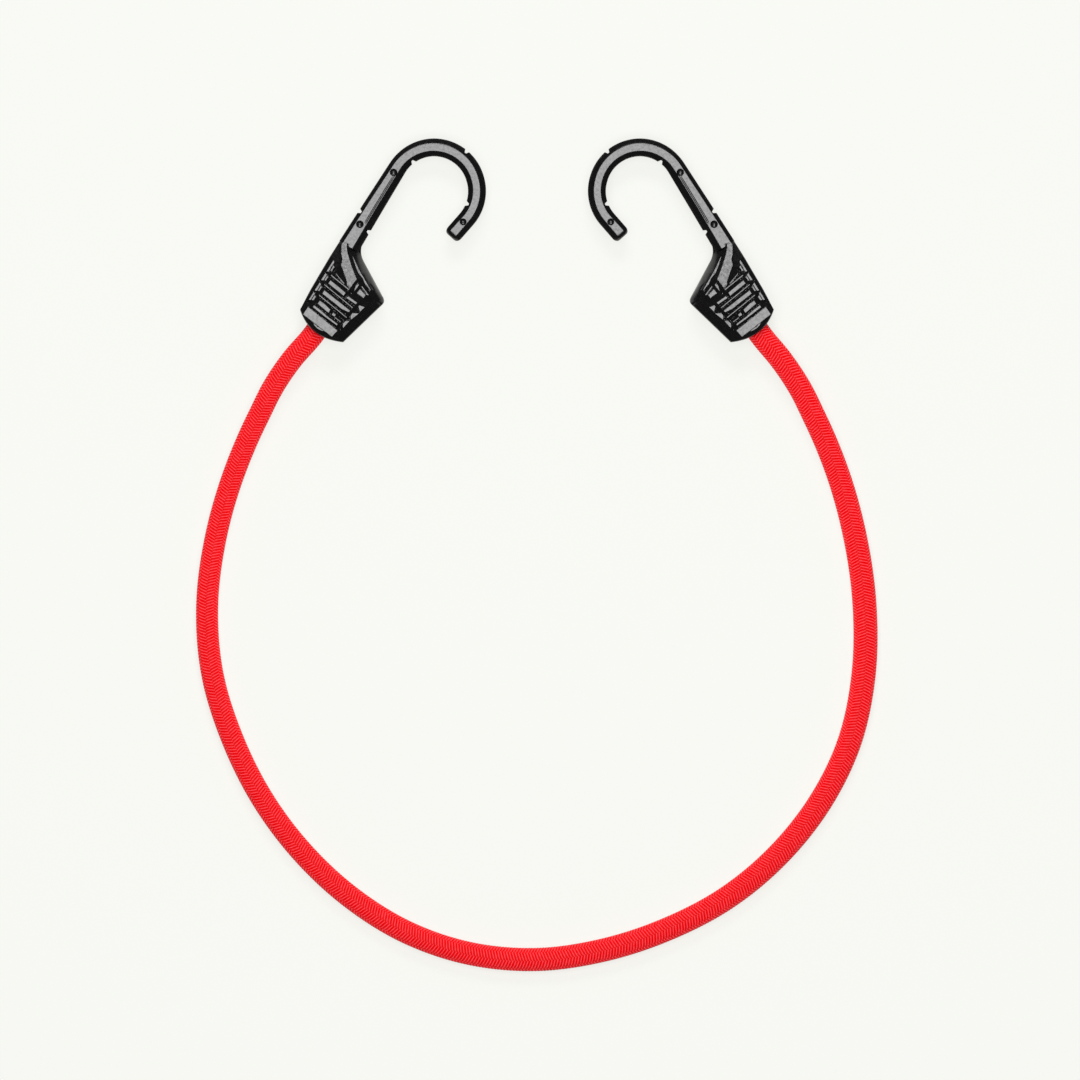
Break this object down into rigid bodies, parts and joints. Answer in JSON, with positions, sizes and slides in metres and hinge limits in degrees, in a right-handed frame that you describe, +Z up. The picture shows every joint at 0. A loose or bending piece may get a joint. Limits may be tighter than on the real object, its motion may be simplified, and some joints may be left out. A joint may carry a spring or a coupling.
{
  "type": "bungee cord",
  "caption": "Elastic bungee cord in a braided jacket, lying in an open loop, with a moulded plastic hook on each end that catches a bar or rail to hold a load down.",
  "frame": {"origin": "on the plane that the cord and both hooks lie on, midway between the two hooks", "axes": "+Z up from that plane, +X from the left hook to the right one, +Y from the cord's loop to the hooks"},
  "size_m": [0.1935, 0.2364, 0.0144],
  "materials": {
    "moulded_nylon": "glossy, as moulded",
    "steel_wire": "drawn, zinc plated",
    "braided_yarn": "braided",
    "rubber_thread": "matt, powdered"
  },
  "bodies": {
    "cord_bight": {"bight_jacket": "braided_yarn", "bight_core": "rubber_thread"},
    "left_limb": {"left_limb_jacket": "braided_yarn", "left_limb_core": "rubber_thread"},
    "left_neck": {"left_neck_jacket": "braided_yarn", "left_neck_core": "rubber_thread"},
    "left_hook": {"left_hook_moulding": "moulded_nylon", "left_hook_wire": "steel_wire", "left_end_clip": "steel_wire", "left_grip_jacket": "braided_yarn", "left_grip_core": "rubber_thread"},
    "right_limb": {"right_limb_jacket": "braided_yarn", "right_limb_core": "rubber_thread"},
    "right_neck": {"right_neck_jacket": "braided_yarn", "right_neck_core": "rubber_thread"},
    "right_hook": {"right_hook_moulding": "moulded_nylon", "right_hook_wire": "steel_wire", "right_end_clip": "steel_wire", "right_grip_jacket": "braided_yarn", "right_grip_core": "rubber_thread"}
  },
  "joints": [
    {"name": "left_stretch", "type": "slide", "parent": "cord_bight", "child": "left_limb", "axis": [0, 1, 0], "range_m": [0, 0.11], "stiffness_N_per_m": 540, "deforming": ["left_limb_jacket", "left_limb_core"]},
    {"name": "left_bend", "type": "hinge", "parent": "left_limb", "child": "left_neck", "pos_m": [-0.0764, -0.0449, 0.0056], "axis": [0, 0, 1], "range_deg": [-12, 60], "stiffness_Nm_per_rad": 0.005, "deforming": ["left_neck_jacket", "left_neck_core"]},
    {"name": "left_twist", "type": "hinge", "parent": "left_neck", "child": "left_hook", "pos_m": [-0.0631, -0.0261, 0.0072], "axis": [0.5284, 0.849, 0], "range_deg": [-180, 180], "stiffness_Nm_per_rad": 0.002},
    {"name": "right_stretch", "type": "slide", "parent": "cord_bight", "child": "right_limb", "axis": [0, 1, 0], "range_m": [0, 0.11], "stiffness_N_per_m": 540, "deforming": ["right_limb_jacket", "right_limb_core"]},
    {"name": "right_bend", "type": "hinge", "parent": "right_limb", "child": "right_neck", "pos_m": [0.0762, -0.0451, 0.0056], "axis": [0, 0, -1], "range_deg": [-12, 60], "stiffness_Nm_per_rad": 0.005, "deforming": ["right_neck_jacket", "right_neck_core"]},
    {"name": "right_twist", "type": "hinge", "parent": "right_neck", "child": "right_hook", "pos_m": [0.0631, -0.0261, 0.0072], "axis": [-0.5284, 0.849, 0], "range_deg": [-180, 180], "stiffness_Nm_per_rad": 0.002}
  ]
}
